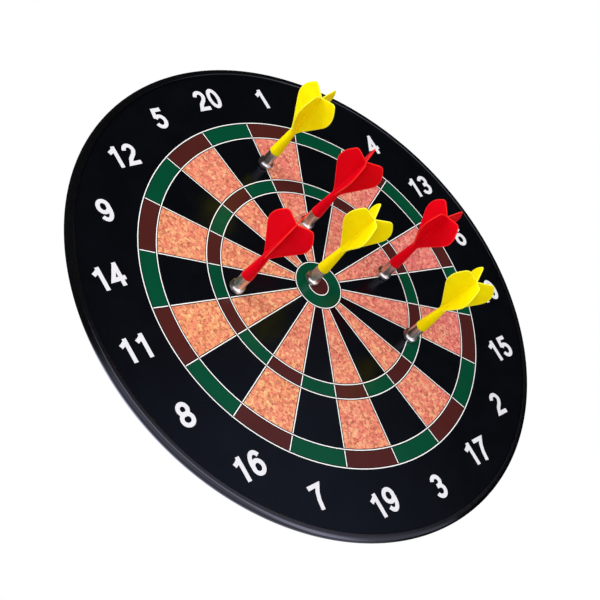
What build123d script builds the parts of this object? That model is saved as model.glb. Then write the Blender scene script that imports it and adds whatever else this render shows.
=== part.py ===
from build123d import *
import os

# Magnetic dartboard with six darts, hanging on a wall. Millimetres.
#
# Every piece is drawn in a drafting frame that looks at the board from the front: x to the
# right, y up, z out of the wall. The origin is on the board's axis, on the wall plane.
# write_part turns it upright, so that in the finished model +X is right, +Z is up towards
# the number 20, the wall is the plane Y = 0 and the target faces -Y.

# ---------------------------------------------------------------- driving dimensions

BOARD_DIAMETER = 285.0
FACE_HEIGHT = 6.0            # printed face above the wall
LIP_HEIGHT = 6.8             # top of the raised lip round the face
LIP_INNER_RADIUS = 138.3
LIP_OUTER_RADIUS = 140.7
LIP_ROUND = 0.4
RIM_CREASE = (141.6, 6.2)    # radius and height where the front bevel meets the side
RIM_SHOULDER = (142.3, 5.3)
RIM_WIDEST_HEIGHT = 4.2
RIM_FLANK = (141.4, 1.9)
RIM_REAR_RADIUS = 139.8
RIM_BORE_RADIUS = 138.9      # channel that takes the discs

DISC_RADIUS = 138.7
FILM_THICKNESS = 0.3
STEEL_THICKNESS = 0.5
BACK_THICKNESS = 2.0

PLATE_WIDTH = 44.0
PLATE_HEIGHT = 26.0
PLATE_THICKNESS = 1.0
PLATE_CORNER = 3.0
PLATE_GAP = 0.15             # all round, in its pocket in the back panel
KEYHOLE_Y = 96.0             # centre of the round entry, above the board's axis
KEYHOLE_RADIUS = 4.5
KEYHOLE_SLOT_RADIUS = 2.2
KEYHOLE_SLOT_RISE = 9.0      # from the entry's centre to the top of the slot
HEAD_ROOM_RADIUS = 6.0       # room behind the plate for the wall screw's head

SCREW_OFFSET = 15.5
SCREW_SHANK_RADIUS = 1.25
SCREW_HEAD_RADIUS = 2.6
SCREW_HEAD_DEPTH = 1.35
SCREW_LENGTH = 5.0
SCREW_SLOT_WIDTH = 0.5
SCREW_SLOT_LENGTH = 3.0
SCREW_SLOT_DEPTH = 0.6
SCREW_CLEARANCE = 0.03

# A dart, measured along its axis from the face that its magnet sits on.
MAGNET_RADIUS = 3.5
MAGNET_TOP = 2.4
MAGNET_EDGE = 0.2            # chamfer on both ends of the magnet
CUP_FOOT = 0.3
CUP_RADIUS = 4.3
CUP_ROUND_TOP = 2.0
CUP_TOP = 2.9
BARREL_RADIUS = 3.1
COLLAR_HEIGHT = 11.9
SPIGOT_RADIUS = 1.9
SPIGOT_BOTTOM = 5.2
SPIGOT_CLEARANCE = 0.03
COLLAR_RADIUS = 3.35
COLLAR_EDGE = 0.25
WAIST_HEIGHT = 30.0
WAIST_RADIUS = 2.0
SPINE_TIP_HEIGHT = 58.5
SPINE_TIP_RADIUS = 0.5
FIN_THICKNESS = 0.9
FIN_ROOT_HEIGHT = 28.5
FIN_ROOT_RADIUS = 1.5
# Radius and height of points on the fin's outer edge, from the root to the tail.
FIN_SWELL = [(3.2, 34.0), (8.3, 43.2), (12.0, 50.2), (12.7, 54.6), (11.6, 59.2)]
FIN_CORNER = (8.0, 64.8)
FIN_ROOT_SLOPE = (0.1, 0, 1)
FIN_CORNER_SLOPE = (-0.6, 0, 0.8)
FIN_TRAIL = (4.3, 62.9)
FIN_NOTCH_HEIGHT = 60.6
FIN_CORNER_ROUND = 2.0

# Where each dart stands on the face, and how far its fins are turned from the x axis.
DARTS = {
    "yellow_dart_1": (12.5, 76.6, 5.7),
    "yellow_dart_2": (-2.4, 4.2, 43.0),
    "yellow_dart_3": (39.1, -44.8, 39.1),
    "red_dart_1": (15.5, 35.5, 29.5),
    "red_dart_2": (-51.1, 13.1, 21.1),
    "red_dart_3": (47.4, -6.3, -8.5),
}

# ---------------------------------------------------------------- derived heights

FILM_BOTTOM = FACE_HEIGHT - FILM_THICKNESS
STEEL_BOTTOM = FILM_BOTTOM - STEEL_THICKNESS
PLATE_Y = KEYHOLE_Y + KEYHOLE_SLOT_RISE / 2
UPRIGHT = Rot(90, 0, 0)
BASE = (Align.CENTER, Align.CENTER, Align.MIN)


def write_part(name, shape):
    shape = UPRIGHT * shape
    shape.label = name
    export_step(shape, os.path.join("parts", name + ".step"))


def disc(bottom, top):
    return Pos(0, 0, bottom) * extrude(Circle(DISC_RADIUS), amount=top - bottom)


def turned(outline):
    """Solid of revolution about z, from an outline in x (radius) and z (height)."""
    return revolve(make_face(outline), Axis.Z, 360)


def at(radius, height):
    """A point of an outline that is drawn in the plane through the axis."""
    return (radius, 0, height)


def profile(points):
    return Polyline(*[at(*point) for point in points], close=True)


# ---------------------------------------------------------------- board


def rim():
    """Moulded ring: a raised lip in front, a rounded side, and a step that takes the discs."""
    lip_foot = at(LIP_INNER_RADIUS, FACE_HEIGHT)
    lip_wall_top = at(LIP_INNER_RADIUS, LIP_HEIGHT - LIP_ROUND)
    crest_inner = at(LIP_INNER_RADIUS + LIP_ROUND, LIP_HEIGHT)
    crest_outer = at(LIP_OUTER_RADIUS, LIP_HEIGHT)
    crease = at(*RIM_CREASE)
    widest = at(BOARD_DIAMETER / 2, RIM_WIDEST_HEIGHT)
    rear = at(RIM_REAR_RADIUS, 0)
    outline = [
        Line(lip_foot, lip_wall_top),
        TangentArc([lip_wall_top, crest_inner], tangent=(0, 0, 1)),
        Line(crest_inner, crest_outer),
        Line(crest_outer, crease),
        ThreePointArc(crease, at(*RIM_SHOULDER), widest),
        ThreePointArc(widest, at(*RIM_FLANK), rear),
        Polyline(rear, at(RIM_BORE_RADIUS, 0), at(RIM_BORE_RADIUS, FACE_HEIGHT), lip_foot),
    ]
    return turned(outline)


def keyhole(extra, depth):
    """Round entry with a slot above it, grown by extra."""
    entry = Pos(0, KEYHOLE_Y, 0) * Cylinder(KEYHOLE_RADIUS + extra, depth, align=BASE)
    slot_top = Pos(0, KEYHOLE_Y + KEYHOLE_SLOT_RISE, 0)
    slot_end = slot_top * Cylinder(KEYHOLE_SLOT_RADIUS + extra, depth, align=BASE)
    slot_run = Pos(0, PLATE_Y, 0) * Box(
        2 * (KEYHOLE_SLOT_RADIUS + extra), KEYHOLE_SLOT_RISE, depth, align=BASE
    )
    return entry + slot_end + slot_run


def head_room():
    """Obround well behind the plate, where the wall screw's head slides up."""
    well = SlotCenterToCenter(KEYHOLE_SLOT_RISE, 2 * HEAD_ROOM_RADIUS, rotation=90)
    return Pos(0, PLATE_Y, 0) * extrude(well, amount=STEEL_BOTTOM)


def plate_outline(gap):
    return RectangleRounded(
        PLATE_WIDTH + 2 * gap, PLATE_HEIGHT + 2 * gap, PLATE_CORNER + gap
    )


def at_screws(shape):
    places = [Pos(side * SCREW_OFFSET, PLATE_Y, 0) for side in (-1, 1)]
    return [place * shape for place in places]


def screw_body(grown):
    """Countersunk screw, its head flush with the wall plane."""
    head = profile(
        [
            (0, 0),
            (SCREW_HEAD_RADIUS + grown, 0),
            (SCREW_SHANK_RADIUS + grown, SCREW_HEAD_DEPTH),
            (SCREW_SHANK_RADIUS + grown, SCREW_LENGTH - SCREW_SHANK_RADIUS),
            (0, SCREW_LENGTH),
        ]
    )
    return turned(head)


def hanger_screw():
    slots = Box(SCREW_SLOT_LENGTH, SCREW_SLOT_WIDTH, 2 * SCREW_SLOT_DEPTH)
    return screw_body(0) - slots - Rot(0, 0, 90) * slots


def screw_holes():
    return at_screws(screw_body(SCREW_CLEARANCE))


def back_panel():
    panel = disc(0, BACK_THICKNESS)
    pocket = Pos(0, PLATE_Y, 0) * extrude(plate_outline(PLATE_GAP), amount=PLATE_THICKNESS)
    return panel - pocket - head_room() - screw_holes()


def core_board():
    return disc(BACK_THICKNESS, STEEL_BOTTOM) - head_room() - screw_holes()


def keyhole_plate():
    plate = Pos(0, PLATE_Y, 0) * extrude(plate_outline(0), amount=PLATE_THICKNESS)
    return plate - keyhole(0, PLATE_THICKNESS) - screw_holes()


# ---------------------------------------------------------------- dart


def dart_magnet():
    body = Cylinder(MAGNET_RADIUS, MAGNET_TOP, align=BASE)
    return chamfer(body.edges().filter_by(GeomType.CIRCLE), MAGNET_EDGE)


def dart_barrel():
    """Turned head: a round-edged cup round the magnet, and a barrel that takes the spigot."""
    bore = SPIGOT_RADIUS + SPIGOT_CLEARANCE
    recess = MAGNET_RADIUS + SPIGOT_CLEARANCE
    cup_low = at(CUP_RADIUS - CUP_FOOT, CUP_FOOT)
    cup_side_low = at(CUP_RADIUS, 2 * CUP_FOOT)
    cup_side_top = at(CUP_RADIUS, CUP_ROUND_TOP)
    cup_top = at(BARREL_RADIUS, CUP_TOP)
    rest = [
        cup_top,
        at(BARREL_RADIUS, COLLAR_HEIGHT),
        at(bore, COLLAR_HEIGHT),
        at(bore, SPIGOT_BOTTOM),
        at(0, SPIGOT_BOTTOM),
        at(0, MAGNET_TOP),
        at(recess, MAGNET_TOP),
        at(recess, CUP_FOOT),
        cup_low,
    ]
    outline = [
        Line(cup_low, cup_side_low),
        Line(cup_side_low, cup_side_top),
        TangentArc([cup_side_top, cup_top], tangent=(0, 0, 1)),
        Polyline(*rest),
    ]
    return turned(outline)


def stem():
    """Spigot, collar and the tapering spine that the fins stand on."""
    return turned(
        profile(
            [
                (0, SPIGOT_BOTTOM),
                (SPIGOT_RADIUS, SPIGOT_BOTTOM),
                (SPIGOT_RADIUS, COLLAR_HEIGHT),
                (COLLAR_RADIUS - COLLAR_EDGE, COLLAR_HEIGHT),
                (COLLAR_RADIUS, COLLAR_HEIGHT + COLLAR_EDGE),
                (WAIST_RADIUS, WAIST_HEIGHT),
                (SPINE_TIP_RADIUS, SPINE_TIP_HEIGHT),
                (0, SPINE_TIP_HEIGHT),
            ]
        )
    )


def fin_half():
    """One fin from the axis outwards: concave at the root, full in the swell, notched behind."""
    axis_foot = at(0, FIN_ROOT_HEIGHT)
    root = at(FIN_ROOT_RADIUS, FIN_ROOT_HEIGHT)
    swell = [at(*point) for point in FIN_SWELL]
    corner = at(*FIN_CORNER)
    notch = at(0, FIN_NOTCH_HEIGHT)
    outline = [
        Line(axis_foot, root),
        Spline(root, *swell, corner, tangents=[FIN_ROOT_SLOPE, FIN_CORNER_SLOPE]),
        ThreePointArc(corner, at(*FIN_TRAIL), notch),
        Line(notch, axis_foot),
    ]
    blade = extrude(make_face(outline), amount=FIN_THICKNESS / 2, both=True)
    tips = blade.edges().filter_by(Axis.Y).sort_by(Axis.Z)[-1:]
    return fillet(tips, FIN_CORNER_ROUND)


def dart_flight():
    flight = stem()
    for turn in range(0, 360, 90):
        flight += Rot(0, 0, turn) * fin_half()
    return flight


# ---------------------------------------------------------------- output

os.makedirs("parts", exist_ok=True)
write_part("rim", rim())
write_part("printed_face", disc(FILM_BOTTOM, FACE_HEIGHT))
write_part("steel_sheet", disc(STEEL_BOTTOM, FILM_BOTTOM))
write_part("core_board", core_board())
write_part("back_panel", back_panel())
write_part("keyhole_plate", keyhole_plate())
write_part("hanger_screws", Compound(at_screws(hanger_screw())))

flight_shape = dart_flight()
barrel_shape = dart_barrel()
magnet_shape = dart_magnet()
for dart, (x, y, turn) in DARTS.items():
    place = Pos(x, y, FACE_HEIGHT) * Rot(0, 0, turn)
    write_part(dart + "_flight", place * flight_shape)
    write_part(dart + "_barrel", place * barrel_shape)
    write_part(dart + "_magnet", place * magnet_shape)
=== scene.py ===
import math

import bmesh
import bpy
from mathutils import Matrix, Vector


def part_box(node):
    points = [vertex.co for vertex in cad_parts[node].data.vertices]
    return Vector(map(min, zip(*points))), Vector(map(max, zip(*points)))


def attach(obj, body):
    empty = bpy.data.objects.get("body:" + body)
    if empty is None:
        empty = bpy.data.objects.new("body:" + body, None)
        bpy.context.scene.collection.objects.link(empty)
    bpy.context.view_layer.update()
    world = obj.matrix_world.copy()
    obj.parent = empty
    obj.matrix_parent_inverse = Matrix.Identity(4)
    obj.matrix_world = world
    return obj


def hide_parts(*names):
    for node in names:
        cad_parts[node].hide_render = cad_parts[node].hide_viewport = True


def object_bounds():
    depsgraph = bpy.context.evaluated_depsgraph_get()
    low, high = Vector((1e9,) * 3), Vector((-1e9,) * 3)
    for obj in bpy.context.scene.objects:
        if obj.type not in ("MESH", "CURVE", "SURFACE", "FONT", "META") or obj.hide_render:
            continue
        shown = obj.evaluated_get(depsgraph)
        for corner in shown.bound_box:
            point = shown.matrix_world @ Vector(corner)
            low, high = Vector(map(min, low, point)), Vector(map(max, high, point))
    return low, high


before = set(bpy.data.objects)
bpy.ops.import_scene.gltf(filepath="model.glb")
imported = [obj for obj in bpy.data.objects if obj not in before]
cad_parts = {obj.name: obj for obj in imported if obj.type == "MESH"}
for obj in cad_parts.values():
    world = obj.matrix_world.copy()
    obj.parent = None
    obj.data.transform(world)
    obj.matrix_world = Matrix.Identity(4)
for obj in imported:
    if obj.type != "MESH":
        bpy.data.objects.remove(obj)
cad_low, cad_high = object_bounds()

# A magnetic dartboard with six darts. Shapes are drawn in millimetres in a drafting frame
# that looks at the board from the front: x to the right, y up, z out of the wall, with the
# origin on the board's axis on the wall plane. UPRIGHT turns them into the shared frame.

MM = 0.001
UPRIGHT = Matrix.Rotation(math.radians(90), 4, "X") @ Matrix.Scale(MM, 4)

# ---------------------------------------------------------------- board dimensions

RIM_MARGIN = 0.01                # keeps the many-sided rim inside the CAD's box
BOARD_RADIUS = min(-cad_low.x, -cad_low.z, cad_high.x, cad_high.z) / MM - RIM_MARGIN
FACE_HEIGHT = -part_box("printed_face")[0].y / MM
FILM_BOTTOM = -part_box("printed_face")[1].y / MM
DISC_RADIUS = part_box("printed_face")[1].x / MM
LIP_HEIGHT = -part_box("rim")[0].y / MM
LIP_INNER_RADIUS = 138.3
LIP_INNER_ROUND = 0.4
LIP_OUTER_RADIUS = 140.7
LIP_OUTER_ROUND = 0.4
CREASE = (141.6, 6.2)            # radius and height where the front bevel meets the side
CREASE_ROUND = 0.3
SHOULDER = (142.3, 5.3)
WIDEST_HEIGHT = 4.2
FLANK = (141.4, 1.9)
REAR_RADIUS = 139.8
BORE_RADIUS = 138.9
RIM_SEGMENTS = 480

# ---------------------------------------------------------------- printed target

NUMBERS = (20, 1, 18, 4, 13, 6, 10, 15, 2, 17, 3, 19, 7, 16, 8, 11, 14, 9, 12, 5)
SECTOR = 360 / len(NUMBERS)
# Radius of each printed circle, and the zone that it closes.
CIRCLES = (
    (6.2, "bull"),
    (14.1, "outer_bull"),
    (58.8, "single"),
    (66.9, "treble"),
    (94.9, "single"),
    (104.9, "double"),
)
LINE_WIDTH = 0.5
KEYLINE_WIDTH = 0.45             # black edge between a white line and a colour
SECTOR_STEPS = 8
NUMERAL_RADIUS = 122.8
NUMERAL_PITCH = 9.3
NUMERAL_GROWTH = 1.04            # size of the printed digits against their drawings
STROKE = 2.25
INK = 0.04

# ---------------------------------------------------------------- dart dimensions
# Heights are along the dart's axis, from the face that its magnet sits on.

# How far each dart's fins are turned from the x axis, in degrees.
FIN_TURNS = {
    "yellow_dart_1": 5.7,
    "yellow_dart_2": 43.0,
    "yellow_dart_3": 39.1,
    "red_dart_1": 29.5,
    "red_dart_2": 21.1,
    "red_dart_3": -8.5,
}
MAGNET_RADIUS = 3.5
MAGNET_TOP = 2.4
CUP_FOOT = 0.3
CUP_RADIUS = 4.3
CUP_ROUND_TOP = 2.0
CUP_TOP = 2.9
BARREL_RADIUS = 3.1
COLLAR_HEIGHT = 11.9
BARREL_EDGE = 0.2
SPIGOT_RADIUS = 1.9
SPIGOT_BOTTOM = 5.2
CLEARANCE = 0.03
COLLAR_RADIUS = 3.35
COLLAR_EDGE = 0.3
WAIST = (2.0, 30.0)
SPINE_TIP = (0.5, 58.5)
FIN_EDGE_THICKNESS = 0.6
FIN_ROOT = (1.5, 28.5)
# Radius and height of points on a fin's outer edge, from the root to the tail.
FIN_SWELL = ((3.2, 34.0), (8.3, 43.2), (12.0, 50.2), (12.7, 54.6), (11.6, 59.2))
FIN_CORNER = (8.0, 64.8)
FIN_CORNER_ROUND = 2.0
FIN_TRAIL = (4.3, 62.9)
FIN_NOTCH = (0.0, 60.6)
DART_SEGMENTS = 96


# ---------------------------------------------------------------- outlines


def arc_points(centre, radii, start, end, steps):
    """Points along an elliptical arc, angles in degrees."""
    points = []
    for i in range(steps + 1):
        angle = math.radians(start + (end - start) * i / steps)
        x = centre[0] + radii[0] * math.cos(angle)
        y = centre[1] + radii[1] * math.sin(angle)
        points.append(Vector((x, y)))
    return points


def arc_through(first, middle, last, steps):
    """Points along the circular arc through three points."""
    a, b, c = Vector(first), Vector(middle), Vector(last)
    twice_area = 2 * (b - a).cross(c - a)
    ab, ac = (b - a).length_squared, (c - a).length_squared
    offset_x = ((c - a).y * ab - (b - a).y * ac) / twice_area
    offset_y = ((b - a).x * ac - (c - a).x * ab) / twice_area
    centre = a + Vector((offset_x, offset_y))
    start = math.atan2(*(a - centre).yx)
    turn = math.atan2((a - centre).cross(c - centre), (a - centre).dot(c - centre))
    if turn * twice_area < 0:
        turn += math.copysign(2 * math.pi, twice_area)
    radius = (a - centre).length
    return arc_points(
        centre, (radius, radius), math.degrees(start), math.degrees(start + turn), steps
    )


def rounded_corner(before, corner, after, size, steps=5):
    """A corner replaced by a parabolic arc that starts and ends size away from it."""
    corner = Vector(corner)
    start = corner + (Vector(before) - corner).normalized() * size
    end = corner + (Vector(after) - corner).normalized() * size
    points = []
    for i in range(steps + 1):
        t = i / steps
        points.append(start * (1 - t) ** 2 + corner * 2 * t * (1 - t) + end * t**2)
    return points


def smooth_curve(points, first_tangent, last_tangent, steps):
    """A curve through points, as cubic spans whose slopes follow the neighbouring points."""
    points = [Vector(p) for p in points]
    tangents = [Vector(first_tangent)]
    for before, after in zip(points, points[2:]):
        tangents.append((after - before) / 2)
    tangents.append(Vector(last_tangent))
    curve = [points[0]]
    for i in range(len(points) - 1):
        a, b = points[i], points[i + 1]
        ta, tb = tangents[i], tangents[i + 1]
        for k in range(1, steps + 1):
            t = k / steps
            curve.append(
                a * (2 * t**3 - 3 * t**2 + 1)
                + ta * (t**3 - 2 * t**2 + t)
                + b * (3 * t**2 - 2 * t**3)
                + tb * (t**3 - t**2)
            )
    return curve


# ---------------------------------------------------------------- mesh building


def finish_mesh(form, name, smooth_angle=35):
    bmesh.ops.recalc_face_normals(form, faces=form.faces)
    mesh = bpy.data.meshes.new(name)
    form.to_mesh(mesh)
    form.free()
    mesh.shade_smooth()
    mesh.set_sharp_from_angle(angle=math.radians(smooth_angle))
    return mesh


def show(mesh, name, body, materials, replaced=()):
    """Makes mesh a piece of the object that rides on body."""
    piece = bpy.data.objects.new(name, mesh)
    bpy.context.scene.collection.objects.link(piece)
    for material in materials:
        mesh.materials.append(material)
    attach(piece, body)
    if replaced:
        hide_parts(*replaced)
    return piece


def lathe(profile, segments, name, closed):
    """Turns a profile of (radius, height) points about z."""
    form = bmesh.new()
    rings = []
    for radius, height in profile:
        if radius < 1e-6:
            rings.append([form.verts.new((0, 0, height))])
            continue
        ring = []
        for i in range(segments):
            angle = 2 * math.pi * i / segments
            place = (radius * math.cos(angle), radius * math.sin(angle), height)
            ring.append(form.verts.new(place))
        rings.append(ring)
    pairs = list(zip(rings, rings[1:]))
    if closed:
        pairs.append((rings[-1], rings[0]))
    for low, high in pairs:
        for i in range(segments):
            corners = [low[i % len(low)], low[(i + 1) % len(low)]]
            corners += [high[(i + 1) % len(high)], high[i % len(high)]]
            corners = list(dict.fromkeys(corners))
            if len(corners) > 2:
                form.faces.new(corners)
    return finish_mesh(form, name)


def joined(meshes, name):
    """Boolean union of closed meshes."""
    objects = []
    for mesh in meshes:
        made = bpy.data.objects.new(name, mesh)
        bpy.context.scene.collection.objects.link(made)
        objects.append(made)
    base = objects[0]
    for other in objects[1:]:
        modifier = base.modifiers.new("join", "BOOLEAN")
        modifier.operation = "UNION"
        modifier.solver = "EXACT"
        modifier.object = other
    depsgraph = bpy.context.evaluated_depsgraph_get()
    result = bpy.data.meshes.new_from_object(base.evaluated_get(depsgraph))
    for made in objects:
        bpy.data.objects.remove(made)
    return result


# ---------------------------------------------------------------- materials


def node(tree, kind, inputs=None, **settings):
    made = tree.nodes.new(kind)
    for key, value in settings.items():
        setattr(made, key, value)
    for key, value in (inputs or {}).items():
        if isinstance(value, bpy.types.NodeSocket):
            tree.links.new(value, made.inputs[key])
        else:
            made.inputs[key].default_value = value
    return made


def new_material(name, **values):
    """A material whose Principled shader has uniform values on its own sockets."""
    material = bpy.data.materials.new(name)
    material.use_nodes = True
    tree = material.node_tree
    surface = tree.nodes["Principled BSDF"]
    for key, value in values.items():
        surface.inputs[key.replace("_", " ")].default_value = value
    return material, tree, surface


def place_in_piece(tree, stretch=(1, 1, 1)):
    """Object coordinates, in metres, squeezed along each axis by stretch."""
    source = node(tree, "ShaderNodeTexCoord").outputs["Object"]
    return node(tree, "ShaderNodeMapping", {"Vector": source, "Scale": stretch}).outputs[0]


def noise(tree, where, per_metre, detail=2.0, roughness=0.5):
    inputs = {"Vector": where, "Scale": per_metre, "Detail": detail, "Roughness": roughness}
    return node(tree, "ShaderNodeTexNoise", inputs).outputs[0]


def ramp(tree, factor, *stops):
    """Colour ramp with stops of (position, colour)."""
    made = node(tree, "ShaderNodeValToRGB", {"Fac": factor})
    elements = made.color_ramp.elements
    while len(elements) < len(stops):
        elements.new(0.5)
    for element, (position, colour) in zip(elements, stops):
        element.position = position
        element.color = (*colour, 1)
    return made.outputs["Color"]


def spread(tree, value, low, high, from_low=0.3, from_high=0.7):
    """Maps from_low…from_high to low…high; by default, the usual span of a noise value."""
    inputs = {
        "Value": value,
        "From Min": from_low,
        "From Max": from_high,
        "To Min": low,
        "To Max": high,
    }
    return node(tree, "ShaderNodeMapRange", inputs).outputs[0]


def mixed(tree, factor, first, second, blend="MIX"):
    made = node(tree, "ShaderNodeMix", data_type="RGBA", blend_type=blend)
    for index, value in ((0, factor), (6, first), (7, second)):
        if isinstance(value, bpy.types.NodeSocket):
            tree.links.new(value, made.inputs[index])
        elif index == 0:
            made.inputs[index].default_value = value
        else:
            made.inputs[index].default_value = (*value, 1)
    return made.outputs[2]


def bump(tree, height, strength, distance_mm):
    inputs = {"Height": height, "Strength": strength, "Distance": distance_mm * MM}
    return node(tree, "ShaderNodeBump", inputs).outputs["Normal"]


def tinted(colour, factor):
    return tuple(min(1.0, channel * factor) for channel in colour)


def varied(tree, surface, colour, where, per_metre, change):
    """Base colour that drifts by a share of change either way."""
    drift = noise(tree, where, per_metre, detail=3)
    stops = ((0.3, tinted(colour, 1 - change)), (0.7, tinted(colour, 1 + change)))
    tree.links.new(ramp(tree, drift, *stops), surface.inputs["Base Color"])


FILM_TINT = (0.62, 0.78, 1.0, 1)
FILM_SPECULAR = 0.16


def printed_film(name, colour, change=0.06):
    """Glossy laminated print: a little uneven in colour, gloss and flatness."""
    material, tree, surface = new_material(
        name, Specular_IOR_Level=FILM_SPECULAR, Specular_Tint=FILM_TINT
    )
    where = place_in_piece(tree)
    varied(tree, surface, colour, where, 60, change)
    gloss = spread(tree, noise(tree, where, 90, detail=4), 0.16, 0.23)
    tree.links.new(gloss, surface.inputs["Roughness"])
    peel = noise(tree, where, 1600, detail=2)
    tree.links.new(bump(tree, peel, 0.05, 0.02), surface.inputs["Normal"])
    return material


def cork_print():
    """Printed picture of cork: granules of different shades, dark flecks between them, and a
    drift from orange on the left to pink on the right."""
    material, tree, surface = new_material(
        "cork_print", Specular_IOR_Level=FILM_SPECULAR, Specular_Tint=FILM_TINT, Roughness=0.2
    )
    where = place_in_piece(tree)
    cells = node(tree, "ShaderNodeTexVoronoi", {"Vector": where, "Scale": 640}).outputs["Color"]
    shade = node(tree, "ShaderNodeSeparateColor", {"Color": cells}).outputs[0]
    granules = ramp(
        tree,
        shade,
        (0.0, (0.55, 0.16, 0.10)),
        (0.2, (0.74, 0.18, 0.13)),
        (0.5, (0.80, 0.23, 0.15)),
        (0.8, (0.83, 0.31, 0.17)),
        (1.0, (0.86, 0.42, 0.24)),
    )
    speckle = noise(tree, where, 900, detail=3, roughness=0.6)
    flecks = ramp(
        tree,
        speckle,
        (0.34, (0.50, 0.38, 0.33)),
        (0.44, (0.95, 0.92, 0.90)),
        (0.58, (1.0, 1.0, 1.0)),
        (0.68, (1.05, 1.40, 1.42)),
    )
    x = node(tree, "ShaderNodeSeparateXYZ", {"Vector": where}).outputs[0]
    patches = spread(tree, noise(tree, where, 24), -0.035, 0.035)
    across = node(tree, "ShaderNodeMath", {0: x, 1: patches}, operation="ADD").outputs[0]
    side = spread(tree, across, 0, 1, from_low=-0.08, from_high=0.08)
    drift = ramp(tree, side, (0.0, (0.91, 1.10, 0.90)), (1.0, (0.88, 0.78, 1.06)))
    base = mixed(tree, 1.0, mixed(tree, 1.0, granules, flecks, "MULTIPLY"), drift, "MULTIPLY")
    tree.links.new(base, surface.inputs["Base Color"])
    return material


def moulded_plastic(name, colour, roughness, grain_per_metre, grain_strength, change=0.05, **more):
    """Moulded plastic with a fine grain and slightly uneven gloss."""
    material, tree, surface = new_material(name, **more)
    where = place_in_piece(tree)
    varied(tree, surface, colour, where, 120, change)
    gloss = spread(
        tree, noise(tree, where, 400, detail=3), roughness * 0.85, roughness * 1.15
    )
    tree.links.new(gloss, surface.inputs["Roughness"])
    grain = noise(tree, where, grain_per_metre, detail=2)
    tree.links.new(bump(tree, grain, grain_strength, 0.03), surface.inputs["Normal"])
    return material


def plated_metal(name, colour, low, high, turned, change=0.04):
    """Plated metal. Turned pieces get fine marks round their axis, which runs along y, and
    the marks spread their reflections along the axis."""
    material, tree, surface = new_material(name, Metallic=1.0)
    if turned:
        surface.inputs["Anisotropic"].default_value = 0.8
        surface.inputs["Anisotropic Rotation"].default_value = 0.25
        round_axis = node(tree, "ShaderNodeTangent", direction_type="RADIAL", axis="Y")
        tree.links.new(round_axis.outputs[0], surface.inputs["Tangent"])
    where = place_in_piece(tree, (1, 40, 1) if turned else (1, 1, 1))
    varied(tree, surface, colour, where, 150, change)
    gloss = spread(tree, noise(tree, where, 220, detail=4), low, high)
    tree.links.new(gloss, surface.inputs["Roughness"])
    marks = noise(tree, where, 260, detail=3)
    tree.links.new(bump(tree, marks, 0.02, 0.02), surface.inputs["Normal"])
    return material


def fibreboard():
    """Pressed brown wood fibre."""
    material, tree, surface = new_material("pressed_fibre", Roughness=0.85)
    where = place_in_piece(tree, (1, 3, 1))
    fibre = noise(tree, where, 900, detail=5, roughness=0.7)
    stops = ((0.35, (0.10, 0.055, 0.028)), (0.55, (0.27, 0.17, 0.09)), (0.7, (0.42, 0.29, 0.17)))
    tree.links.new(ramp(tree, fibre, *stops), surface.inputs["Base Color"])
    tree.links.new(bump(tree, fibre, 0.4, 0.1), surface.inputs["Normal"])
    return material


film_black = printed_film("film_black", (0.0021, 0.0026, 0.0040), 0.15)
film_green = printed_film("film_green", (0.0002, 0.057, 0.0245))
film_brown = printed_film("film_brown", (0.063, 0.0118, 0.0095))
film_white = printed_film("film_white", (0.66, 0.66, 0.70), 0.03)
film_line = printed_film("film_line", (0.86, 0.87, 0.86), 0.02)
film_cork = cork_print()
rim_plastic = moulded_plastic(
    "rim_gloss_black", (0.0022, 0.0022, 0.0030), 0.17, 900, 0.04, 0.2, Specular_IOR_Level=0.68
)
back_plastic = moulded_plastic(
    "back_panel_black", (0.014, 0.014, 0.015), 0.5, 1500, 0.6, 0.2, Specular_IOR_Level=0.3
)
# The flights' plastic is dull, and light soaks into it.
FLIGHT_FINISH = {
    "Specular_IOR_Level": 0.08,
    "Subsurface_Weight": 0.7,
    "Subsurface_Radius": (1.0, 1.0, 1.0),
    "Subsurface_Scale": 0.0012,
}
yellow_plastic = moulded_plastic(
    "yellow_flight", (0.93, 0.77, 0.0008), 0.38, 700, 0.05, **FLIGHT_FINISH
)
# Lighter copies of the flight plastics for the fins' rounded edges and the collar's front edge: a
# painted highlight, the glint and glow of light on thin plastic edges put into the colour.
yellow_edge_painted_highlight = moulded_plastic(
    "yellow_flight_edge_painted_highlight", (0.96, 0.86, 0.05), 0.3, 700, 0.05, **FLIGHT_FINISH
)
red_plastic = moulded_plastic(
    "red_flight", (0.70, 0.0003, 0.0090), 0.38, 700, 0.05, **FLIGHT_FINISH
)
red_edge_painted_highlight = moulded_plastic(
    "red_flight_edge_painted_highlight", (0.86, 0.020, 0.014), 0.3, 700, 0.05, **FLIGHT_FINISH
)
chrome = plated_metal("barrel_chrome", (0.80, 0.74, 0.64), 0.25, 0.31, turned=True)
nickel = plated_metal("magnet_nickel", (0.62, 0.60, 0.56), 0.2, 0.32, turned=False)
zinc = plated_metal("plate_zinc", (0.46, 0.44, 0.37), 0.28, 0.45, turned=False, change=0.12)
screw_zinc = plated_metal("screw_zinc", (0.34, 0.32, 0.27), 0.22, 0.36, turned=False)
sheet_steel = plated_metal("sheet_steel", (0.50, 0.50, 0.51), 0.3, 0.45, turned=False, change=0.1)
fibre = fibreboard()


# ---------------------------------------------------------------- printed face

FILM_MATERIALS = [film_black, film_line, film_cork, film_green, film_brown]
INK_OF = {material.name: index for index, material in enumerate(FILM_MATERIALS)}


def bands():
    """(inner radius, outer radius, what is printed there), from the centre outwards."""
    found = []
    inner = 0.0
    for radius, zone in CIRCLES:
        white = radius - LINE_WIDTH / 2
        found.append((inner, white - KEYLINE_WIDTH, zone))
        found.append((white - KEYLINE_WIDTH, white, "keyline"))
        found.append((white, white + LINE_WIDTH, "line"))
        found.append((white + LINE_WIDTH, white + LINE_WIDTH + KEYLINE_WIDTH, "keyline"))
        inner = white + LINE_WIDTH + KEYLINE_WIDTH
    found.append((inner, DISC_RADIUS, "border"))
    return found


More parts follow.
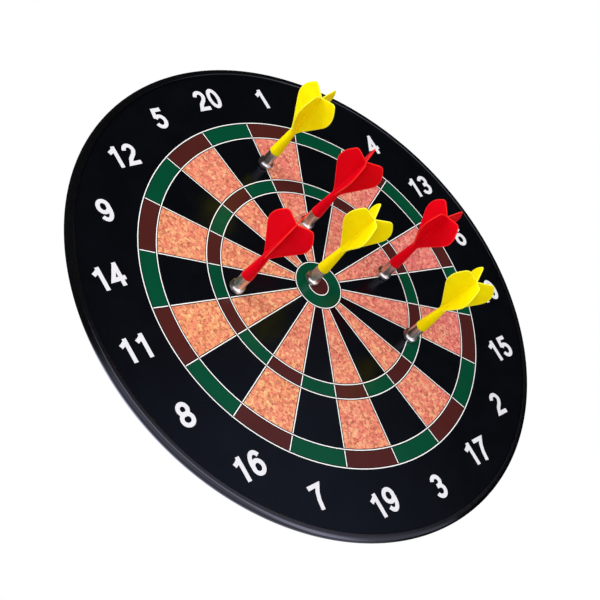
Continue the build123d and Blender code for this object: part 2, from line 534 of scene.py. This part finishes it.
def sector_angles(radius):
    """Angles across one sector at a radius, from its middle: the printed lines have straight,
    parallel edges, so the angle that they cover grows towards the centre."""
    half = SECTOR / 2
    line = math.degrees(math.asin(LINE_WIDTH / 2 / radius))
    key = math.degrees(math.asin((LINE_WIDTH / 2 + KEYLINE_WIDTH) / radius))
    inside = [
        (half - key) * (2 * i / SECTOR_STEPS - 1) for i in range(SECTOR_STEPS + 1)
    ]
    return [-half, line - half, *inside, half - line]


def ink(zone, step, sector):
    """Name of the material printed at a step across a sector."""
    dark = sector % 2 == 0
    colours = {
        "bull": "film_brown",
        "outer_bull": "film_green",
        "single": "film_black" if dark else "cork_print",
        "treble": "film_green" if dark else "film_brown",
        "double": "film_green" if dark else "film_brown",
        "line": "film_line",
        "keyline": "film_black",
        "border": "film_black",
    }
    if zone in ("single", "treble", "double"):
        if step in (0, SECTOR_STEPS + 3):
            return "film_line"
        if step in (1, SECTOR_STEPS + 2):
            return "film_black"
    return colours[zone]


def circle_of_vertices(form, radius, angles_at, height):
    ring = []
    for sector in range(len(NUMBERS)):
        middle = 90 - SECTOR * sector
        for offset in sector_angles(angles_at):
            angle = math.radians(middle - offset)
            place = (radius * math.cos(angle), radius * math.sin(angle), height)
            ring.append(form.verts.new(place))
    return ring


def strip(form, low, high, zone):
    """Faces between two rings of vertices, each with its printed material."""
    per_sector = len(low) // len(NUMBERS)
    for i in range(len(low)):
        after = (i + 1) % len(low)
        face = form.faces.new((low[i], low[after], high[after], high[i]))
        face.material_index = INK_OF[ink(zone, i % per_sector, i // per_sector)]


def film_mesh():
    """The film as a thin disc whose front is divided along every printed edge."""
    form = bmesh.new()
    layout = bands()
    innermost = layout[0][1]
    ring = circle_of_vertices(form, innermost, innermost, FACE_HEIGHT)
    centre = form.verts.new((0, 0, FACE_HEIGHT))
    for i in range(len(ring)):
        face = form.faces.new((centre, ring[(i + 1) % len(ring)], ring[i]))
        face.material_index = INK_OF["film_brown"]
    for _, outer, zone in layout[1:]:
        wider = circle_of_vertices(form, outer, outer, FACE_HEIGHT)
        strip(form, ring, wider, zone)
        ring = wider
    rear = circle_of_vertices(form, DISC_RADIUS, DISC_RADIUS, FILM_BOTTOM)
    strip(form, ring, rear, "border")
    form.faces.new(rear)
    return finish_mesh(form, "printed_film")


# ---------------------------------------------------------------- numerals
# Each digit is one or more strokes of one width, given by their centre lines about the
# middle of the digit. The digits are plain and upright.

TALL = 5.2                       # half the height of a centre line
FULL = TALL + STROKE / 2         # half the height of a digit


def six():
    loop = arc_points((0, -2.05), (2.75, 3.15), 0, 360, 32)
    back = arc_points((0.35, -0.2), (3.1, 5.4), 205, 38, 20)
    return [loop, back]


DIGITS = {
    "0": [arc_points((0, 0), (2.75, TALL), 0, 360, 36)],
    "1": [
        [Vector((0.9, -FULL)), Vector((0.9, FULL - 0.1))],
        [Vector((1.3, 5.0)), Vector((-0.9, 3.5)), Vector((-2.6, 2.7))],
    ],
    "2": [
        arc_points((-0.05, 2.35), (2.6, 2.85), 172, -12, 18)
        + [Vector((1.5, 0.0)), Vector((-1.2, -2.5)), Vector((-2.5, -TALL)), Vector((3.6, -TALL))]
    ],
    "3": [
        arc_points((-0.2, 2.65), (2.45, 2.55), 165, -90, 20),
        arc_points((-0.2, -2.4), (2.8, 2.8), 90, -165, 22),
        [Vector((-1.2, 0.25)), Vector((0.0, 0.25))],
    ],
    "4": [
        [Vector((1.35, -FULL)), Vector((1.35, FULL))],
        [Vector((1.35, 5.3)), Vector((-3.1, -2.3)), Vector((3.9, -2.3))],
    ],
    "5": [
        [Vector((3.1, TALL)), Vector((-1.65, TALL)), Vector((-2.35, 0.2))],
        arc_points((-0.1, -1.95), (2.85, 3.25), 142, -163, 24),
    ],
    "6": six(),
    "7": [
        [
            Vector((-3.7, TALL)),
            Vector((2.75, TALL)),
            Vector((0.7, 2.2)),
            Vector((-0.6, -1.4)),
            Vector((-1.3, -FULL)),
        ]
    ],
    "8": [
        arc_points((0, 2.65), (2.5, 2.55), 0, 360, 30),
        arc_points((0, -2.45), (2.95, 2.75), 0, 360, 32),
    ],
    "9": [[-point for point in stroke] for stroke in six()],
}


def stroke_sides(path):
    """Points to the left and right of a centre line, mitred at its corners."""
    closed = (path[0] - path[-1]).length < 1e-4
    line = path[:-1] if closed else path
    left, right = [], []
    for i, point in enumerate(line):
        before = line[i - 1] if i or closed else None
        after = line[(i + 1) % len(line)] if closed or i + 1 < len(line) else None
        arriving = (point - before).normalized() if before else None
        leaving = (after - point).normalized() if after else arriving
        arriving = arriving or leaving
        along = (arriving + leaving).normalized()
        reach = STROKE / 2 / max(0.5, along.dot(leaving))
        across = Vector((-along.y, along.x)) * reach
        left.append(point + across)
        right.append(point - across)
    return left, right, closed


def stroke_mesh(path):
    """A flat bar of ink along a centre line."""
    left, right, closed = stroke_sides(path)
    form = bmesh.new()
    rows = []
    for a, b in zip(left, right):
        row = [form.verts.new((a.x, a.y, INK)), form.verts.new((b.x, b.y, INK))]
        row += [form.verts.new((b.x, b.y, 0)), form.verts.new((a.x, a.y, 0))]
        rows.append(row)
    pairs = list(zip(rows, rows[1:]))
    if closed:
        pairs.append((rows[-1], rows[0]))
    else:
        form.faces.new(rows[0])
        form.faces.new(rows[-1])
    for here, there in pairs:
        for k in range(4):
            following = (k + 1) % 4
            form.faces.new((here[k], here[following], there[following], there[k]))
    return finish_mesh(form, "stroke")


def numerals_mesh():
    glyphs = {}
    for digit, strokes in DIGITS.items():
        glyphs[digit] = joined([stroke_mesh(path) for path in strokes], "digit_" + digit)
    form = bmesh.new()
    for i, number in enumerate(NUMBERS):
        angle = math.radians(90 - SECTOR * i)
        text = str(number)
        for k, digit in enumerate(text):
            x = NUMERAL_RADIUS * math.cos(angle) + (k - (len(text) - 1) / 2) * NUMERAL_PITCH
            y = NUMERAL_RADIUS * math.sin(angle)
            placed = glyphs[digit].copy()
            shift = Matrix.Translation((x, y, FACE_HEIGHT))
            placed.transform(shift @ Matrix.Scale(NUMERAL_GROWTH, 4))
            form.from_mesh(placed)
    return finish_mesh(form, "numerals")


# ---------------------------------------------------------------- rim


def rim_profile():
    lip_foot = (LIP_INNER_RADIUS, FACE_HEIGHT)
    lip_inner = (LIP_INNER_RADIUS, LIP_HEIGHT)
    lip_outer = (LIP_OUTER_RADIUS, LIP_HEIGHT)
    widest = (BOARD_RADIUS, WIDEST_HEIGHT)
    rear = (REAR_RADIUS, 0)
    side = arc_through(CREASE, SHOULDER, widest, 10)
    flank = arc_through(widest, FLANK, rear, 10)
    profile = [Vector(lip_foot)]
    profile += rounded_corner(lip_foot, lip_inner, lip_outer, LIP_INNER_ROUND)
    profile += rounded_corner(lip_inner, lip_outer, CREASE, LIP_OUTER_ROUND)
    profile += rounded_corner(lip_outer, CREASE, side[1], CREASE_ROUND)
    profile += side[2:] + flank[1:]
    profile += [Vector((BORE_RADIUS, 0)), Vector((BORE_RADIUS, FACE_HEIGHT))]
    return profile


# ---------------------------------------------------------------- dart


def barrel_mesh():
    """Cup round the magnet, rounded to a plain barrel that takes the spigot."""
    bore = SPIGOT_RADIUS + CLEARANCE
    recess = MAGNET_RADIUS + CLEARANCE
    cup_shoulder = CUP_TOP - CUP_ROUND_TOP
    rounding = arc_points(
        (BARREL_RADIUS, CUP_ROUND_TOP), (CUP_RADIUS - BARREL_RADIUS, cup_shoulder), 0, 90, 10
    )
    foot = rounded_corner(
        (recess, CUP_FOOT), (CUP_RADIUS, CUP_FOOT), (CUP_RADIUS, CUP_ROUND_TOP), CUP_FOOT
    )
    mouth = (BARREL_RADIUS, COLLAR_HEIGHT)
    lip = rounded_corner((BARREL_RADIUS, CUP_TOP), mouth, (bore, COLLAR_HEIGHT), BARREL_EDGE)
    profile = [(0, MAGNET_TOP), (recess, MAGNET_TOP), (recess, CUP_FOOT)]
    profile += foot + rounding + lip
    profile += [(bore, COLLAR_HEIGHT), (bore, SPIGOT_BOTTOM), (0, SPIGOT_BOTTOM)]
    return lathe(profile, DART_SEGMENTS, "barrel", closed=False)


def stem_mesh():
    """Spigot, collar and the tapering spine that the fins stand on."""
    foot = (SPIGOT_RADIUS, COLLAR_HEIGHT)
    collar = (COLLAR_RADIUS, COLLAR_HEIGHT)
    profile = [(0, SPIGOT_BOTTOM), (SPIGOT_RADIUS, SPIGOT_BOTTOM), foot]
    profile += rounded_corner(foot, collar, WAIST, COLLAR_EDGE)
    profile += [WAIST, SPINE_TIP, (0, SPINE_TIP[1])]
    mesh = lathe(profile, DART_SEGMENTS, "stem", closed=False)
    # The collar's rounded front edge takes the lighter edge material: a painted highlight ring.
    for face in mesh.polygons:
        if COLLAR_HEIGHT <= face.center.z < COLLAR_HEIGHT + COLLAR_EDGE:
            face.material_index = 1
    return mesh


def fin_side():
    """Outer edge of one fin, from its root round the tail corner to the notch."""
    edge = smooth_curve(
        [FIN_ROOT, *FIN_SWELL, FIN_CORNER], first_tangent=(0.4, 5.5), last_tangent=(-3.6, 4.8), steps=8
    )
    trail = arc_through(FIN_CORNER, FIN_TRAIL, FIN_NOTCH, 10)
    corner = rounded_corner(edge[-2], FIN_CORNER, trail[1], FIN_CORNER_ROUND)
    keep = [p for p in edge[:-1] if (p - Vector(FIN_CORNER)).length > FIN_CORNER_ROUND]
    rest = [p for p in trail[1:] if (p - Vector(FIN_CORNER)).length > FIN_CORNER_ROUND]
    return keep + corner + rest


def inset(outline, distance):
    """Outline moved inwards, its points going anticlockwise."""
    moved = []
    for i, point in enumerate(outline):
        along = (outline[(i + 1) % len(outline)] - outline[i - 1]).normalized()
        moved.append(point + Vector((-along.y, along.x)) * distance)
    return moved


def blade_mesh():
    """Two opposite fins as one plate across the axis, thinner and rounded at its edge."""
    side = fin_side()
    mirrored = [Vector((-p.x, p.y)) for p in reversed(side[:-1])]
    outline = side + mirrored
    edge = FIN_EDGE_THICKNESS / 2
    levels = []
    for turn in (0, 30, 60, 90):
        angle = math.radians(turn)
        levels.append((edge * (1 - math.cos(angle)), edge * math.sin(angle)))
    levels.append((edge + 0.1, edge + 0.01))
    form = bmesh.new()
    caps = []
    for sign in (1, -1):
        rings = []
        for distance, height in levels:
            points = inset(outline, distance)
            rings.append([form.verts.new((p.x, sign * height, p.y)) for p in points])
        # The rounded edge faces take the lighter edge material: painted highlight along the fins'
        # edges.
        for low, high in zip(rings, rings[1:]):
            for i in range(len(low)):
                after = (i + 1) % len(low)
                face = form.faces.new((low[i], low[after], high[after], high[i]))
                face.material_index = 1
        caps.append(form.faces.new(rings[-1]))
    bmesh.ops.remove_doubles(form, verts=form.verts, dist=1e-5)
    return finish_mesh(form, "blade")


def flight_mesh():
    blade = blade_mesh()
    crossed = blade.copy()
    crossed.transform(Matrix.Rotation(math.radians(90), 4, "Z"))
    mesh = joined([stem_mesh(), blade, crossed], "flight")
    mesh.shade_smooth()
    mesh.set_sharp_from_angle(angle=math.radians(35))
    return mesh


def place_of(dart):
    """Where a dart's axis meets the face, and its fins' turn."""
    low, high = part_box(dart + "_magnet")
    middle = (low + high) / 2 / MM
    turn = Matrix.Rotation(math.radians(FIN_TURNS[dart]), 4, "Z")
    return UPRIGHT @ Matrix.Translation((middle.x, middle.z, FACE_HEIGHT)) @ turn


def show_dart(dart, flight, barrel):
    colour = dart.split("_")[0]
    # The second material of each pair is the lighter edge copy: painted highlight on the flight's
    # edges.
    plastics = {"yellow": (yellow_plastic, yellow_edge_painted_highlight), "red": (red_plastic, red_edge_painted_highlight)}[colour]
    for part, mesh, materials, slot in (
        ("_flight", flight, plastics, colour + "_plastic"),
        ("_barrel", barrel, (chrome,), "chrome"),
    ):
        placed = mesh.copy()
        placed.transform(place_of(dart))
        node_name = dart + part
        show(placed, node_name + "_moulded", dart, materials, (node_name,))


# ---------------------------------------------------------------- assembly


def upright(mesh):
    mesh.transform(UPRIGHT)
    return mesh


show(
    upright(film_mesh()), "target_print", "board", FILM_MATERIALS, ("printed_face",)
)
show(upright(numerals_mesh()), "numerals", "board", [film_white])
rim_mesh = lathe(rim_profile(), RIM_SEGMENTS, "rim_ring", closed=True)
show(upright(rim_mesh), "rim_ring", "board", [rim_plastic], ("rim",))

flight_form = flight_mesh()
barrel_form = barrel_mesh()
for dart in FIN_TURNS:
    show_dart(dart, flight_form, barrel_form)

CAD_FINISH = {
    "steel_sheet": sheet_steel,
    "core_board": fibre,
    "back_panel": back_plastic,
    "keyhole_plate": zinc,
    "hanger_screws": screw_zinc,
}
for dart in FIN_TURNS:
    CAD_FINISH[dart + "_magnet"] = nickel
for name, finish in CAD_FINISH.items():
    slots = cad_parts[name].material_slots
    for slot in slots:
        slot.material = finish


# ---------------------------------------------------------------- stage, light, camera

FLOOR_DROP = 0.16                # below the board's lowest edge
FLOOR_RADIUS = 6.0


def make_floor():
    """White floor, left out of reflections and of the light that bounces onto the object."""
    form = bmesh.new()
    bmesh.ops.create_circle(form, cap_ends=True, segments=96, radius=FLOOR_RADIUS)
    mesh = bpy.data.meshes.new("floor")
    form.to_mesh(mesh)
    form.free()
    floor = bpy.data.objects.new("floor", mesh)
    floor.location.z = cad_low.z - FLOOR_DROP
    bpy.context.scene.collection.objects.link(floor)
    paint, _, _ = new_material(
        "floor_white",
        Base_Color=(0.9, 0.9, 0.9, 1),
        Roughness=0.9,
        Emission_Color=(1, 1, 1, 1),
        Emission_Strength=0.6,
    )
    mesh.materials.append(paint)
    floor.visible_glossy = False
    floor.visible_diffuse = False


def product(tree, *factors):
    """Shader value that multiplies all the factors."""
    total = factors[0]
    for factor in factors[1:]:
        total = node(tree, "ShaderNodeMath", {0: total, 1: factor}, operation="MULTIPLY").outputs[0]
    return total


def surround(tree):
    """What glossy surfaces see: a dark room that is pale low down on the left, more so behind
    the board, with a level pale band behind the board. In front there is a glow low down, which
    ends towards the far right, and a brighter strip in its middle."""
    direction = node(tree, "ShaderNodeTexCoord").outputs["Generated"]
    x, y, z = node(tree, "ShaderNodeSeparateXYZ", {"Vector": direction}).outputs
    low = spread(tree, z, 1, 0, from_low=0.22, from_high=0.34)
    left = spread(tree, x, 1, 0, from_low=0.2, from_high=0.45)
    depth = spread(tree, y, 0.3, 1.1, from_low=-0.1, from_high=0.4)
    strip_left = spread(tree, x, 0, 1, from_low=-0.25, from_high=-0.1)
    strip_right = spread(tree, x, 3, 0, from_low=0.1, from_high=0.25)
    in_front = spread(tree, y, 1, 0, from_low=-0.3, from_high=0.0)
    near_middle = spread(tree, x, 1, 0, from_low=0.655, from_high=0.69)
    near_horizon = spread(tree, z, 0.85, 0, from_low=0.13, from_high=0.25)
    behind = spread(tree, y, 0, 1.1, from_low=0.5, from_high=0.65)
    level = spread(tree, z, 0, 1, from_low=-0.2, from_high=0.0)
    total = 0.006
    for zone in (
        product(tree, left, low, depth),
        product(tree, behind, level, low),
        product(tree, strip_left, strip_right, in_front, low),
        product(tree, near_middle, near_horizon, in_front),
    ):
        total = node(tree, "ShaderNodeMath", {0: total, 1: zone}, operation="ADD").outputs[0]
    made = node(tree, "ShaderNodeBackground", {"Color": (0.77, 0.79, 1.04, 1), "Strength": total})
    return made.outputs[0]


def make_world():
    """White for the camera, the surround for glossy rays, and even light for all others."""
    world = bpy.data.worlds.new("studio")
    bpy.context.scene.world = world
    world.use_nodes = True
    tree = world.node_tree
    tree.nodes.clear()
    path = node(tree, "ShaderNodeLightPath").outputs
    white = node(tree, "ShaderNodeBackground", {"Color": (1, 1, 1, 1), "Strength": 1.0})
    ambient = node(tree, "ShaderNodeBackground", {"Color": (1, 0.99, 0.98, 1), "Strength": 1.04})
    seen = {0: path["Is Glossy Ray"], 1: ambient.outputs[0], 2: surround(tree)}
    light = node(tree, "ShaderNodeMixShader", seen).outputs[0]
    seen = {0: path["Is Camera Ray"], 1: light, 2: white.outputs[0]}
    both = node(tree, "ShaderNodeMixShader", seen).outputs[0]
    node(tree, "ShaderNodeOutputWorld", {"Surface": both})


def aim(thing, place, target):
    thing.location = place
    thing.rotation_mode = "QUATERNION"
    thing.rotation_quaternion = (Vector(target) - Vector(place)).to_track_quat("-Z", "Y")


def soft_box(name, place, size, watts):
    lamp = bpy.data.lights.new(name, "AREA")
    lamp.shape = "SQUARE"
    lamp.size = size
    lamp.energy = watts
    holder = bpy.data.objects.new(name, lamp)
    holder.visible_glossy = False
    bpy.context.scene.collection.objects.link(holder)
    aim(holder, place, (0, 0, 0))


def make_camera():
    """Below and to the left of the board, and rolled, so that the board leans in the picture."""
    aimed_at = Vector((-0.0173, -0.006, -0.0044))
    distance = 0.6216
    azimuth, elevation, roll = math.radians(-43.27), math.radians(-12.07), math.radians(-30.66)
    back = Vector(
        (
            math.sin(azimuth) * math.cos(elevation),
            -math.cos(azimuth) * math.cos(elevation),
            math.sin(elevation),
        )
    )
    level = Vector((0, 0, 1)).cross(back).normalized()
    over = back.cross(level)
    right = level * math.cos(roll) + over * math.sin(roll)
    up = over * math.cos(roll) - level * math.sin(roll)
    data = bpy.data.cameras.new("camera")
    data.lens = 71.27
    data.sensor_width = 36
    data.clip_start = 0.01
    camera = bpy.data.objects.new("camera", data)
    camera.matrix_world = Matrix.Translation(aimed_at + back * distance) @ Matrix(
        (right, up, back)
    ).transposed().to_4x4()
    bpy.context.scene.collection.objects.link(camera)
    bpy.context.scene.camera = camera


make_floor()
make_world()
soft_box("key", (-0.9, -1.1, 1.3), 1.0, 18)
soft_box("fill", (-1.3, -0.9, -0.5), 0.8, 14)
make_camera()
bpy.context.scene.view_settings.view_transform = "Standard"
